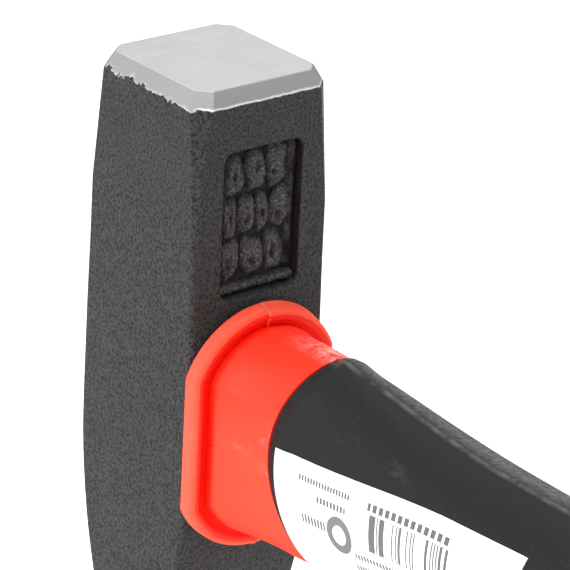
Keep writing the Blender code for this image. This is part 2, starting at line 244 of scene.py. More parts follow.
def flatRing(x, outline, aside=0.0, seam=0.0):
    def point(angle):
        reach = outline(angle)
        if seam:
            # the mould's halves don't quite meet: a fine fin, and on top a step down beyond it
            off = (reach * sin(angle) - rimSizes["seamAside"]) / rimSizes["seamWidth"]
            fin = max(1 - off**2, 0)
            top = max(cos(angle), 0)
            nearHalf = min(max(0.5 - off, 0), 1) * top
            reach += seam * fin + rimSizes["seamStep"] * (nearHalf - top)
        return x, aside + reach * sin(angle), eyeZ + reach * cos(angle)

    return point


def eased(x, stations):
    # an even swing from each station's value to the next one's
    for (x0, v0), (x1, v1) in zip(stations, stations[1:]):
        if x <= x1:
            share = min(max((x - x0) / (x1 - x0), 0), 1)
            return v0 + (v1 - v0) * share * share * (3 - 2 * share)
    return stations[-1][1]


def handleCentre(x):
    h = handleSizes
    waist = gripFront + h["waistFromFront"]
    rise = [(rimFront, 0), (gripFront, h["neckRise"]), (waist, h["neckRise"] + h["rise"])]
    return eyeZ + eased(x, rise)


def handleRadius(x, angle, lift=0.0):
    h = handleSizes
    waist = gripFront + h["waistFromFront"]
    palm = buttEnd - h["palmFromButt"]
    widths = [(gripFront, h["shoulderWidth"]), (waist, h["waistWidth"]), (palm, h["palmWidth"])]
    heights = [(gripFront, h["shoulderHeight"]), (waist, h["waistHeight"]), (palm, h["palmHeight"])]
    return oval(eased(x, widths) + 2 * lift, eased(x, heights) + 2 * lift)(angle)


def placeBehind(distance, angle):
    # the rubber's front edge bows back over the top and the belly, and the bow fades behind it
    g = gripSizes
    upward = handleRadius(gripFront, angle) * cos(angle) / (handleSizes["shoulderHeight"] / 2)
    bow = (g["setbackBelly"] + g["setbackTop"]) / 2
    slant = (g["setbackBelly"] - g["setbackTop"]) / 2
    fade = max(1 - distance / g["setbackFade"], 0)
    return gripFront + distance + (bow * upward**2 - slant * upward) * fade


def handleRing(distance, lift=0.0, seam=0.0):
    def point(angle):
        x = placeBehind(distance, angle)
        reach = handleRadius(x, angle, lift)
        reach += seam * seamShape(angle, reach)
        return x, reach * sin(angle), handleCentre(x) + reach * cos(angle)

    return point


def seamShape(angle, reach):
    # 1 on the middle plane, at the top and the belly, and 0 beyond the ridge's width
    return max(1 - (reach * sin(angle) / gripSizes["ridgeWidth"] * 2) ** 2, 0)


def growSkin(rings, sides, capStart=True, capEnd=True, hollows=None):
    # One skin through a row of rings, each extruded from the one before. Without caps its last ring
    # joins its first. hollows says how deep in a hollow each ring lies, for the finish to read.
    bm = bmesh.new()
    hollow = bm.verts.layers.float.new("hollow") if hollows else None
    side = bm.verts.layers.int.new("side")
    verts = bmesh.ops.create_circle(bm, segments=sides, radius=1)["verts"]
    for number, vert in enumerate(verts):
        vert[side] = number
        vert.co = rings[0](2 * pi * number / sides)
    edges = firstEdges = bm.edges[:]
    for step, ring in enumerate(rings[1:], 1):
        grown = bmesh.ops.extrude_edge_only(bm, edges=edges)["geom"]
        verts = {item for item in grown if isinstance(item, bmesh.types.BMVert)}
        edges = [item for item in grown if isinstance(item, bmesh.types.BMEdge)]
        edges = [e for e in edges if e.verts[0] in verts and e.verts[1] in verts]
        for vert in verts:
            vert.co = ring(2 * pi * vert[side] / sides)
            if hollows:
                vert[hollow] = hollows[step]
    if capStart:
        bmesh.ops.edgeloop_fill(bm, edges=firstEdges)
    if capEnd:
        bmesh.ops.edgeloop_fill(bm, edges=edges)
    if not capStart and not capEnd:
        bmesh.ops.bridge_loops(bm, edges=firstEdges + edges)
    return bm


def newFinish(name):
    finish = bpy.data.materials.new(name)
    finish.use_nodes = True
    tree = finish.node_tree
    return finish, tree, tree.nodes["Principled BSDF"]


def addNode(tree, kind, inputs=None, **settings):
    node = tree.nodes.new(kind)
    for key, value in settings.items():
        setattr(node, key, value)
    for key, value in (inputs or {}).items():
        if isinstance(value, bpy.types.NodeSocket):
            tree.links.new(value, node.inputs[key])
        else:
            node.inputs[key].default_value = value
    return node


def calc(tree, operation, first, second=0.0):
    return addNode(tree, "ShaderNodeMath", {0: first, 1: second}, operation=operation).outputs[0]


def product(tree, first, *others):
    for other in others:
        first = calc(tree, "MULTIPLY", first, other)
    return first


def strongest(tree, first, *others):
    for other in others:
        first = calc(tree, "MAXIMUM", first, other)
    return first


def between(tree, value, low, high):
    above = calc(tree, "GREATER_THAN", value, low)
    return product(tree, above, calc(tree, "LESS_THAN", value, high))


def distanceFrom(tree, value, centre):
    return calc(tree, "ABSOLUTE", calc(tree, "SUBTRACT", value, centre))


def mixColour(tree, share, first, second):
    # takes a colour as a socket or as red, green and blue
    inputs = {0: share}
    for key, colour in ((6, first), (7, second)):
        inputs[key] = colour if isinstance(colour, bpy.types.NodeSocket) else (*colour, 1)
    return addNode(tree, "ShaderNodeMix", inputs, data_type="RGBA").outputs[2]


def mixValue(tree, share, first, second):
    return addNode(tree, "ShaderNodeMix", {0: share, 2: first, 3: second}).outputs[0]


def remap(tree, value, low, high, toLow=0.0, toHigh=1.0):
    node = addNode(tree, "ShaderNodeMapRange", {0: value, 1: low, 2: high, 3: toLow, 4: toHigh})
    return node.outputs[0]


def noiseOf(tree, place, scale, detail=3.0, roughness=0.55, stretch=None):
    if stretch:
        place = addNode(tree, "ShaderNodeMapping", {"Vector": place, "Scale": stretch}).outputs[0]
    inputs = {"Vector": place, "Scale": scale, "Detail": detail, "Roughness": roughness}
    return addNode(tree, "ShaderNodeTexNoise", inputs).outputs[0]


def bump(tree, height, distance, strength=1.0, under=None):
    inputs = {"Height": height, "Distance": distance, "Strength": strength}
    node = addNode(tree, "ShaderNodeBump", inputs)
    if under:
        tree.links.new(under, node.inputs["Normal"])
    return node.outputs[0]


def newGroup(name, inputs, outputs):
    group = bpy.data.node_groups.new(name, "ShaderNodeTree")
    for socketName, kind in inputs:
        group.interface.new_socket(name=socketName, in_out="INPUT", socket_type=kind)
    for socketName, kind in outputs:
        group.interface.new_socket(name=socketName, in_out="OUTPUT", socket_type=kind)
    return group, addNode(group, "NodeGroupInput"), addNode(group, "NodeGroupOutput")


def makeAxesGroup():
    # object coordinates turned back into the hammer's own upright axes
    group, _, result = newGroup("hammerAxes", [], [("Place", "NodeSocketVector")])
    back = hammerPlace.inverted()
    place = addNode(group, "ShaderNodeTexCoord").outputs["Object"]
    settings = {"Vector": place, "Location": back.to_translation(), "Rotation": back.to_euler()}
    turned = addNode(group, "ShaderNodeMapping", settings).outputs[0]
    group.links.new(turned, result.inputs[0])
    return group


def makeWearGroup():
    # what handling leaves on any surface: a cloudy tone, scattered scuffs and pale dust specks
    sockets = [(name, "NodeSocketFloat") for name in ("Cloud", "Scuff", "Dust")]
    group, given, result = newGroup("handlingWear", [("Place", "NodeSocketVector")], sockets)
    place = given.outputs[0]
    cloud = noiseOf(group, place, 130.0, 4.0, 0.6)
    scuffs = noiseOf(group, place, 430.0, 5.0, 0.78, (0.4, 1.0, 1.0))
    patches = noiseOf(group, place, 70.0, 2.0, 0.5)
    scuff = product(group, remap(group, scuffs, 0.58, 0.75), remap(group, patches, 0.45, 0.62))
    dust = remap(group, noiseOf(group, place, 2600.0, 1.0, 0.4), 0.70, 0.80)
    for number, value in enumerate((cloud, scuff, dust)):
        group.links.new(value, result.inputs[number])
    return group


def useGroup(tree, group, inputs=None):
    node = tree.nodes.new("ShaderNodeGroup")
    node.node_tree = group
    for key, value in (inputs or {}).items():
        tree.links.new(value, node.inputs[key])
    return node.outputs


def newWornFinish(name, groups):
    # a finish that has its place in the hammer's own axes and the handling wear at hand
    finish, tree, shader = newFinish(name)
    place = useGroup(tree, groups["axes"])["Place"]
    wear = useGroup(tree, groups["wear"], {"Place": place})
    split = addNode(tree, "ShaderNodeSeparateXYZ", {0: place}).outputs
    return finish, tree, shader, place, wear, split


headLook = {
    "steelDark": (0.53, 0.53, 0.525),
    "steelPale": (0.66, 0.66, 0.65),
    "grindingLine": (0.36, 0.36, 0.355),
    "faceShade": (0.22, 0.22, 0.215),
    "brightEdge": (0.85, 0.85, 0.84),
    "paintDark": (0.052, 0.052, 0.053),
    "paintPale": (0.084, 0.084, 0.085),
    "paintPitShade": (0.006, 0.006, 0.006),
    "paintDust": (0.16, 0.16, 0.165),
    "cornerHighlight": (0.40, 0.40, 0.40),
    "recessFloorShade": (0.006, 0.006, 0.006),
    "recessRaised": (0.066, 0.066, 0.067),
    "recessGlint": (0.30, 0.30, 0.30),
    "recessFarWallShade": (0.001, 0.001, 0.001),
    "fineWander": 0.0020,
    "broadWander": 0.0026,
    "wanderOffCheeks": 0.14,
    "cornerInset": 0.0009,
    "shine": 0.26,
    "recessShine": 0.75,
    "recessRoughness": 0.34,
}


def forgedHeadFinish(groups):
    # black paint over the forging, ground away on the face and its chamfers
    look = headLook
    finish, tree, shader, place, wear, split = newWornFinish("paintedForging", groups)
    down = calc(tree, "MULTIPLY", split["Z"], -1.0)
    cheek = calc(tree, "ABSOLUTE", split["Y"])

    # the paint ends at the foot of the chamfers, in a chipped edge on the cheeks
    calm = look["wanderOffCheeks"]
    onCheek = remap(tree, cheek, 0.0100, 0.0108, calm, 1.0)
    fine = calc(tree, "SUBTRACT", noiseOf(tree, place, 1300.0, 4.0, 0.75), 0.52)
    broad = calc(tree, "SUBTRACT", noiseOf(tree, place, 330.0, 3.0, 0.6), 0.52)
    fineWander = product(tree, fine, look["fineWander"])
    wander = calc(tree, "ADD", fineWander, product(tree, broad, look["broadWander"]))
    edge = calc(tree, "ADD", down, product(tree, wander, onCheek))
    drop = headSizes["chamferDrop"]
    paint = remap(tree, edge, drop - 0.00008, drop + 0.00006)
    bright = remap(tree, distanceFrom(tree, edge, drop - 0.0001), 0.0, 0.00020, 1.0, 0.0)
    bright = product(tree, bright, remap(tree, onCheek, calm, 1.0, 1.0, 0.3))

    grain = noiseOf(tree, place, 2100.0, 2.0, 0.5, (1.0, 0.05, 1.0))
    steel = mixColour(tree, wear["Cloud"], look["steelDark"], look["steelPale"])
    lines = remap(tree, grain, 0.3, 0.7, 0.0, 0.40)
    steel = mixColour(tree, lines, steel, look["grindingLine"])
    offFace = remap(tree, down, 0.00004, 0.00016)
    steel = mixColour(tree, product(tree, offFace, 0.55), steel, look["faceShade"])
    steel = mixColour(tree, bright, steel, look["brightEdge"])

    pebble = noiseOf(tree, place, 2500.0, 3.0, 0.65)
    black = mixColour(tree, wear["Cloud"], look["paintDark"], look["paintPale"])
    # painted shade: the low spots of the pebble bump are darkened nearly to black
    pebbleShade = remap(tree, pebble, 0.40, 0.54, 0.9, 0.0)
    black = mixColour(tree, pebbleShade, black, look["paintPitShade"])
    black = mixColour(tree, product(tree, wear["Dust"], 0.5), black, look["paintDust"])

    # the recess on the handle side holds thicker, glossier paint; its darkness is painted shade: a
    # dark floor, the raised lumps lighter by their height, painted glints on them and a painted
    # shadow along the far wall
    farWall = panelSizes["width"] / 2
    inRecess = product(
        tree,
        between(tree, split["X"], panelFloor - 0.0004, headSizes["pollDepth"] / 2 - 0.0001),
        between(tree, split["Z"], panelLow - 0.0001, panelTop + 0.0001),
        calc(tree, "LESS_THAN", cheek, farWall + 0.00015),
    )
    # painted shade: the floor of the recess is darkened, and the lumps grow lighter as they rise
    raised = remap(tree, split["X"], panelFloor + 0.0001, panelFloor + 0.0009)
    recessShaded = mixColour(tree, raised, look["recessFloorShade"], look["recessRaised"])
    # painted glints: pale specks on the raised lumps
    speck = remap(tree, noiseOf(tree, place, 3200.0, 2.0, 0.7), 0.53, 0.62)
    recessShaded = mixColour(tree, product(tree, speck, raised, 0.8), recessShaded, look["recessGlint"])
    # painted shadow along the far wall of the recess
    onFarWall = remap(tree, split["Y"], farWall - 0.0006, farWall - 0.0002)
    recessShaded = mixColour(tree, onFarWall, recessShaded, look["recessFarWallShade"])
    black = mixColour(tree, inRecess, black, recessShaded)

    # painted highlight: the cut down the far corner of the poll is lightened towards the poll,
    # standing in for light off its rounding
    outward = calc(tree, "ADD", split["X"], split["Y"])
    outward = calc(tree, "ADD", outward, product(tree, fine, 0.0012))
    reach = (headSizes["pollDepth"] + headSizes["pollWidth"]) / 2 - look["cornerInset"]
    # painted highlight on the far corner cut, fading out down the head
    cornerSheen = remap(tree, outward, reach, reach + 0.0003)
    cornerSheen = product(tree, cornerSheen, remap(tree, down, 0.010, 0.016, 1.0, 0.0))
    black = mixColour(tree, product(tree, cornerSheen, 0.8), black, look["cornerHighlight"])

    tree.links.new(mixColour(tree, paint, steel, black), shader.inputs["Base Color"])
    tree.links.new(remap(tree, paint, 0.0, 1.0, 1.0, 0.0), shader.inputs["Metallic"])
    shine = mixValue(tree, inRecess, look["shine"], look["recessShine"])
    tree.links.new(shine, shader.inputs["Specular IOR Level"])
    steelRough = remap(tree, grain, 0.3, 0.7, 0.42, 0.52)
    paintRough = remap(tree, pebble, 0.3, 0.7, 0.56, 0.42)
    paintRough = mixValue(tree, inRecess, paintRough, look["recessRoughness"])
    tree.links.new(mixValue(tree, paint, steelRough, paintRough), shader.inputs["Roughness"])
    coarse = bump(tree, noiseOf(tree, place, 240.0, 3.0, 0.5), 0.0004, 0.5)
    skin = bump(tree, pebble, 0.0024, 1.0, coarse)
    ground = bump(tree, grain, 0.000015, 0.6)
    normal = addNode(tree, "ShaderNodeMix", {0: paint, 4: ground, 5: skin}, data_type="VECTOR")
    tree.links.new(normal.outputs[1], shader.inputs["Normal"])
    return finish


redLook = {
    "dark": (0.82, 0.044, 0.021),
    "pale": (0.90, 0.060, 0.031),
    "upperSideShade": (0.80, 0.018, 0.006),
    "rim": (0.84, 0.110, 0.065),
    "groove": (0.86, 0.010, 0.002),
    "grooveCrease": (0.30, 0.004, 0.002),
    "scuffAndSheen": (0.92, 0.50, 0.46),
    "shine": 0.11,
}


def redPlasticFinish(groups):
    look = redLook
    finish, tree, shader, place, wear, split = newWornFinish("redMoulding", groups)
    colour = mixColour(tree, wear["Cloud"], look["dark"], look["pale"])
    # painted shade: the upper side turns a deeper, more saturated red than the lower side
    upward = remap(tree, split["Z"], eyeZ + 0.001, eyeZ + 0.014)
    colour = mixColour(tree, product(tree, upward, 0.8), colour, look["upperSideShade"])
    # painted sheen: the rim is made paler and pinker than the neck
    onRim = calc(tree, "LESS_THAN", split["X"], rimFront - 0.00005)
    colour = mixColour(tree, product(tree, onRim, 0.6), colour, look["rim"])
    # painted shade: the groove behind the rim is a deeper, more saturated red
    hollow = addNode(tree, "ShaderNodeAttribute", attribute_name="hollow").outputs["Fac"]
    colour = mixColour(tree, calc(tree, "MINIMUM", hollow, 1.0), colour, look["groove"])
    # painted shade: a dark broken line in the crease at the neck's root
    creased = remap(tree, noiseOf(tree, place, 500.0, 3.0, 0.6), 0.38, 0.55)
    creaseShadow = product(tree, remap(tree, hollow, 1.3, 2.0), creased, 0.6)
    colour = mixColour(tree, creaseShadow, colour, look["grooveCrease"])

    # painted highlight: the crown of the neck just ahead of the grip is made pale in patches,
    # standing in for the sheen along its top
    nearGrip = remap(tree, split["X"], gripFront - 0.0065, gripFront + 0.001)
    notButt = calc(tree, "LESS_THAN", split["X"], gripFront + 0.010)
    farSide = remap(tree, split["Y"], -0.0022, 0.0008)
    onTop = remap(tree, split["Z"], eyeZ + 0.008, eyeZ + 0.013)
    patches = remap(tree, noiseOf(tree, place, 620.0, 5.0, 0.8), 0.40, 0.62)
    scuffAndSheen = product(tree, nearGrip, notButt, farSide, onTop, patches)
    offSeam = distanceFrom(tree, split["Y"], rimSizes["seamAside"])
    seam = product(tree, remap(tree, offSeam, 0.00004, 0.00022, 0.4, 0.0), onRim)
    # the pale colour covers handling scuffs, the seam's fin and the painted highlight on the crown
    marks = strongest(tree, scuffAndSheen, product(tree, wear["Scuff"], 0.22), seam)
    colour = mixColour(tree, product(tree, marks, 0.7), colour, look["scuffAndSheen"])
    tree.links.new(colour, shader.inputs["Base Color"])
    tree.links.new(remap(tree, wear["Cloud"], 0.3, 0.7, 0.50, 0.60), shader.inputs["Roughness"])
    shader.inputs["Specular IOR Level"].default_value = look["shine"]
    ripple = bump(tree, wear["Cloud"], 0.00012, 0.6)
    tree.links.new(bump(tree, marks, 0.00003, 0.5, ripple), shader.inputs["Normal"])
    return finish


rubberLook = {
    "dark": (0.0045, 0.0045, 0.005),
    "pale": (0.0095, 0.0095, 0.010),
    "paleMarks": (0.11, 0.11, 0.115),
    "tornFlash": (0.10, 0.045, 0.035),
    "pitShade": (0.001, 0.001, 0.001),
    "shine": 0.18,
}


def rubberFinish(groups):
    look = rubberLook
    finish, tree, shader, place, wear, split = newWornFinish("gripRubber", groups)
    colour = mixColour(tree, wear["Cloud"], look["dark"], look["pale"])

    # the parting ridge and the far side of the crown beside it are made paler in cloudy patches
    cloudy = remap(tree, noiseOf(tree, place, 260.0, 4.0, 0.7), 0.38, 0.60, 0.15, 1.0)
    offRidge = calc(tree, "ABSOLUTE", split["Y"])
    ridge = product(tree, remap(tree, offRidge, 0.0002, 0.0007, 0.6, 0.0), cloudy)
    powder = noiseOf(tree, place, 1500.0, 3.0, 0.7)
    crown = product(
        tree,
        remap(tree, split["Y"], -0.0002, 0.0022),
        remap(tree, powder, 0.35, 0.62, 0.35, 1.0),
        remap(tree, split["Z"], eyeZ + 0.0085, eyeZ + 0.0120),
    )
    scuff = product(tree, wear["Scuff"], 0.22)
    speck = product(tree, wear["Dust"], 0.16)
    thinDust = product(tree, remap(tree, powder, 0.55, 0.72), 0.04)
    marks = strongest(tree, scuff, ridge, crown, speck, thinDust)
    colour = mixColour(tree, marks, colour, look["paleMarks"])

    # a torn spot of moulding flash where the ridge starts, and painted shade of small pits beside
    # it
    atFront = remap(tree, split["X"], gripFront + 0.0040, gripFront + 0.0058, 1.0, 0.0)
    onCrown = calc(tree, "GREATER_THAN", split["Z"], eyeZ)
    byRidge = remap(tree, distanceFrom(tree, split["Y"], -0.0004), 0.0012, 0.0020, 1.0, 0.0)
    torn = noiseOf(tree, place, 1100.0, 3.0, 0.7)
    flash = product(tree, atFront, byRidge, onCrown, remap(tree, torn, 0.44, 0.52))
    colour = mixColour(tree, flash, colour, look["tornFlash"])
    # painted shade: near-black spots standing for pits
    pitShade = product(tree, atFront, onCrown, remap(tree, torn, 0.40, 0.34))
    colour = mixColour(tree, pitShade, colour, look["pitShade"])
    tree.links.new(colour, shader.inputs["Base Color"])
    tree.links.new(remap(tree, wear["Cloud"], 0.3, 0.7, 0.60, 0.72), shader.inputs["Roughness"])
    shader.inputs["Specular IOR Level"].default_value = look["shine"]
    fine = noiseOf(tree, place, 1900.0, 3.0, 0.6)
    tree.links.new(bump(tree, fine, 0.00005, 0.5), shader.inputs["Normal"])
    return finish


def resinFinish(groups):
    finish, tree, shader = newFinish("bondingResin")
    place = useGroup(tree, groups["axes"])["Place"]
    cloud = noiseOf(tree, place, 420.0, 4.0, 0.6)
    colour = mixColour(tree, cloud, (0.020, 0.018, 0.016), (0.045, 0.040, 0.034))
    tree.links.new(colour, shader.inputs["Base Color"])
    shader.inputs["Roughness"].default_value = 0.25
    tree.links.new(bump(tree, cloud, 0.00015, 0.5), shader.inputs["Normal"])
    return finish


def fibreglassFinish(groups):
    finish, tree, shader = newFinish("fibreglassRod")
    place = useGroup(tree, groups["axes"])["Place"]
    strands = noiseOf(tree, place, 2600.0, 3.0, 0.5, (0.02, 1.0, 1.0))
    colour = mixColour(tree, strands, (0.62, 0.58, 0.40), (0.82, 0.79, 0.62))
    tree.links.new(colour, shader.inputs["Base Color"])
    shader.inputs["Roughness"].default_value = 0.4
    return finish


labelPrint = {
    "paper": (0.78, 0.78, 0.79),
    "ink": (0.03, 0.03, 0.03),
    "bars": (0.0194, 0.0036, 0.0362, 0.0091),  # left, top, right and bottom, in metres on the label
    "barWidth": 0.00026,
    "ringAlong": 0.0135,
    "ringDown": 0.0086,
    "ringRadius": 0.0021,
    "ringWidth": 0.0013,
    "rows": (
        # left, top, right, height, pitch and seed of each row of dashes
        (0.0050, 0.0021, 0.0157, 0.0008, 0.00060, 21),
        (0.0062, 0.0042, 0.0150, 0.0009, 0.00072, 31),
        (0.0052, 0.0076, 0.0104, 0.0013, 0.00070, 71),
        (0.0194, 0.0021, 0.0362, 0.0011, 0.00125, 11),
        (0.0165, 0.0104, 0.0290, 0.0009, 0.00065, 41),
        (0.0150, 0.0126, 0.0320, 0.0009, 0.00065, 51),
        (0.0120, 0.0147, 0.0240, 0.0009, 0.00065, 61),
    ),
}


def paperFinish():
    # print that only looks like print: bars, rows of dashes and a plain ring
    p = labelPrint
    finish, tree, shader = newFinish("printedLabel")
    uv = addNode(tree, "ShaderNodeUVMap", uv_map="printPlace").outputs[0]
    split = addNode(tree, "ShaderNodeSeparateXYZ", {0: uv}).outputs
    along, down = split["X"], split["Y"]

    def inside(left, top, right, bottom):
        return product(tree, between(tree, along, left, right), between(tree, down, top, bottom))

    def chance(width, seed):
        # an even random value for each strip of this width
        strip = calc(tree, "FLOOR", calc(tree, "DIVIDE", along, width))
        inputs = {"W": calc(tree, "ADD", strip, seed)}
        node = addNode(tree, "ShaderNodeTexWhiteNoise", inputs, noise_dimensions="1D")
        return node.outputs["Value"]

    def dashes(left, top, right, height, pitch, seed):
        # even dashes broken into words, thin enough to read as grey
        phase = calc(tree, "FRACT", calc(tree, "DIVIDE", along, pitch))
        filled = calc(tree, "GREATER_THAN", phase, 0.34)
        words = calc(tree, "GREATER_THAN", chance(4.0 * pitch, seed), 0.16)
        return product(tree, inside(left, top, right, top + height), filled, words)

    bars = calc(tree, "GREATER_THAN", chance(p["barWidth"], 7), 0.48)
    ink = product(tree, inside(*p["bars"]), bars)
    for row in p["rows"]:
        ink = calc(tree, "MAXIMUM", ink, dashes(*row))
    sideways = calc(tree, "SUBTRACT", along, p["ringAlong"])
    upright = calc(tree, "SUBTRACT", down, p["ringDown"])
    squares = product(tree, sideways, sideways), product(tree, upright, upright)
    offRing = distanceFrom(tree, calc(tree, "SQRT", calc(tree, "ADD", *squares)), p["ringRadius"])
    ring = calc(tree, "LESS_THAN", offRing, p["ringWidth"] / 2)
    ink = calc(tree, "MAXIMUM", ink, product(tree, ring, 0.95))
    colour = mixColour(tree, product(tree, ink, 0.93), p["paper"], p["ink"])
    tree.links.new(colour, shader.inputs["Base Color"])
    shader.inputs["Roughness"].default_value = 0.42
    tree.links.new(bump(tree, noiseOf(tree, uv, 500.0, 2.0), 0.00002, 0.2), shader.inputs["Normal"])
    return finish


def trimOff(bm, point, normal):
    geometry = bm.verts[:] + bm.edges[:] + bm.faces[:]
    bmesh.ops.bisect_plane(
        bm, geom=geometry, plane_co=point, plane_no=normal, clear_outer=True, dist=1e-7
    )
    bmesh.ops.edgeloop_fill(bm, edges=[e for e in bm.edges if e.is_boundary])
    bmesh.ops.recalc_face_normals(bm, faces=bm.faces)


def trimThrough(bm, a, b, c):
    # trims to the plane through three points, on the side away from the head's middle
    a, b, c = Vector(a), Vector(b), Vector(c)
    normal = (b - a).cross(c - a).normalized()
    outward = Vector((a.x + b.x + c.x, a.y + b.y + c.y, 0))
    trimOff(bm, a, normal if normal.dot(outward) > 0 else -normal)


def roundAcross(bm, corner, width, segments):
    # rounds the edges that run from cheek to cheek at this corner of the outline, on both sides
    close = 1e-6
    chosen = []
    for edge in bm.edges:
        one, two = edge.verts[0].co, edge.verts[1].co
        level = abs(one.x - two.x) < close and abs(one.z - two.z) < close
        if level and abs(abs(one.x) - corner[0]) < close and abs(one.z - corner[1]) < close:
            chosen.append(edge)
    bmesh.ops.bevel(
        bm, geom=chosen, offset=width, segments=segments, profile=0.5, affect="EDGES", material=-1
    )


def roundDownEdges(bm):
    # takes the sharpness off the edges where the cheeks meet the sides
    sharp = []
    for edge in bm.edges:
        run = edge.verts[0].co - edge.verts[1].co
        if len(edge.link_faces) == 2 and abs(run.z) > 0.5 * run.length:
            if edge.calc_face_angle() > radians(25):
                sharp.append(edge)
    width = headSizes["edgeRound"]
    bmesh.ops.bevel(
        bm, geom=sharp, offset=width, segments=4, profile=0.5, affect="EDGES", material=-1
    )


def headShape():
    h = headSizes
    side = [
        (h["pollDepth"] / 2, 0),
        (h["pollDepth"] / 2, -h["pollShank"]),
        (h["eyeDepth"] / 2, -h["pollShank"] - h["shoulder"]),
        (h["eyeDepth"] / 2, h["peinLength"] - h["length"]),
        (h["peinEdge"] / 2, -h["length"]),
    ]
    outline = side + [(-x, z) for x, z in reversed(side)]
    bm = bmesh.new()
    cheek = bm.faces.new([bm.verts.new((x, -h["width"] / 2, z)) for x, z in outline])
    grown = bmesh.ops.extrude_face_region(bm, geom=[cheek])["geom"]
    moved = [item for item in grown if isinstance(item, bmesh.types.BMVert)]
    bmesh.ops.translate(bm, vec=(0, h["width"], 0), verts=moved)
    bmesh.ops.recalc_face_normals(bm, faces=bm.faces)
    roundAcross(bm, side[1], h["shoulder"] / 3, 3)
    roundAcross(bm, side[2], h["shoulder"] / 3, 3)
    roundAcross(bm, side[3], h["peinRounding"], 7)
    roundAcross(bm, side[4], (h["peinEdge"] - h["peinFlat"]) / 2, 4)
    roundDownEdges(bm)

    halfX, halfY, fullY = h["pollDepth"] / 2, h["pollWidth"] / 2, h["width"] / 2
    signs = [(sx, sy) for sx in (-1, 1) for sy in (-1, 1)]
    for sy in (-1, 1):
        trimThrough(bm, (0, sy * halfY, 0), (1, sy * halfY, 0), (0, sy * fullY, -h["pollShank"]))
    for sx, sy in signs:
        trimThrough(
            bm,
            (sx * (halfX - h["cornerCut"]), sy * halfY, 0),
            (sx * halfX, sy * (halfY - h["cornerCut"]), 0),
            (sx * halfX, sy * fullY, -h["cornerCutLength"]),
        )
    drop = h["chamferDrop"]
    insetX = {1: h["chamferInset"], -1: h["chamferInsetFar"]}
    insetY = {-1: h["chamferInset"], 1: h["chamferInsetFar"]}
    for sign in (-1, 1):
        trimOff(bm, (sign * halfX, 0, -drop), Vector((sign * drop, 0, insetX[sign])))
        trimOff(bm, (0, sign * halfY, -drop), Vector((0, sign * drop, insetY[sign])))
    for sx, sy in signs:
        innerX, innerY = halfX - insetX[sx], halfY - insetY[sy]
        trimThrough(
            bm,
            (sx * (innerX - h["cornerCutOnFace"]), sy * innerY, 0),
            (sx * innerX, sy * (innerY - h["cornerCutOnFace"]), 0),
            (sx * (halfX - h["cornerCut"] / 2), sy * (halfY - h["cornerCut"] / 2), -drop),
        )
    return bm


def makeHead(finish):
    h, p = headSizes, panelSizes
    bm = headShape()
    head = makePiece("forgedHead", bm, finish, ["hammer_head"], smoothAngle=24)
    section = oval(h["eyeWidth"], h["eyeHeight"], 2.0)
    clear = 0.03  # half the cutter's length, well past both sides of the head
    cutWith(head, growSkin([flatRing(-clear, section), flatRing(clear, section)], 64), "eyeCutter")
    reach = 0.010  # the cutter's depth from the floor of the recess outwards
    centre = (panelFloor + reach / 2, 0, (panelLow + panelTop) / 2)
    recess = roundedBlock(centre, (reach, p["width"], panelTop - panelLow), p["corner"])
    cutWith(head, recess, "panelCutter")
    soften = head.modifiers.new("soften", "BEVEL")
    soften.width = h["rimSoftening"]
    soften.segments = 3
    soften.limit_method = "ANGLE"
    soften.angle_limit = radians(60)
    soften.harden_normals = True
    applyModifiers(head)
    placePiece(head)
    print("head made")


def lumpHeight(across, fromTop):
    # soft uneven lumps in rows, each pinched in the middle, wandering off their grid
    p = panelSizes
    across += 0.07 * noise.noise(Vector((across * 5, fromTop * 5, 1.7)))
    fromTop += 0.05 * noise.noise(Vector((across * 5, fromTop * 5, 8.3)))
    if not (0 < across < 1 and 0 < fromTop < 1):
        return 0.0
    row = min(int(fromTop * len(p["rows"])), len(p["rows"]) - 1)
    count = p["rows"][row]
    u = (across * count) % 1 - 0.5
    v = (fromTop * len(p["rows"])) % 1 - 0.5
    rise = max(1 - (abs(u) / 0.50) ** 3 - (abs(v) / 0.48) ** 3, 0) ** 0.6
    pinch = noise.noise(Vector((int(across * count) * 3.1, row * 2.3, 0.4))) * 0.4
    hollow = max(1 - ((u - pinch) / 0.17) ** 2 - ((v + pinch) / 0.22) ** 2, 0)
    return (0.85 + 0.3 * v) * rise * (1 - 0.55 * hollow)


def borderHeight(fromFar, fromLow):
    # a bar along the bottom of the recess and a broken rib up its far side, by distances from the
    # far wall and the lower one
    p = panelSizes
    offBar = (fromLow - p["barFromLow"]) / (p["barWidth"] / 2)
    bar = max(1 - offBar**2, 0) if fromFar > p["barEndFromFar"] else 0.0
    bar *= 0.9 + 0.3 * noise.noise(Vector((fromFar * 900, 2.2, 0.0)))
    offRib = (fromFar - p["ribFromFar"]) / (p["ribWidth"] / 2)
    rib = max(1 - offRib**4, 0) if fromLow > p["ribEndFromLow"] else 0.0
    rib *= 0.30 + 0.5 * max(noise.noise(Vector((5.1, fromLow * 330, 0.0))), -0.5)
    return max(bar, rib, 0)


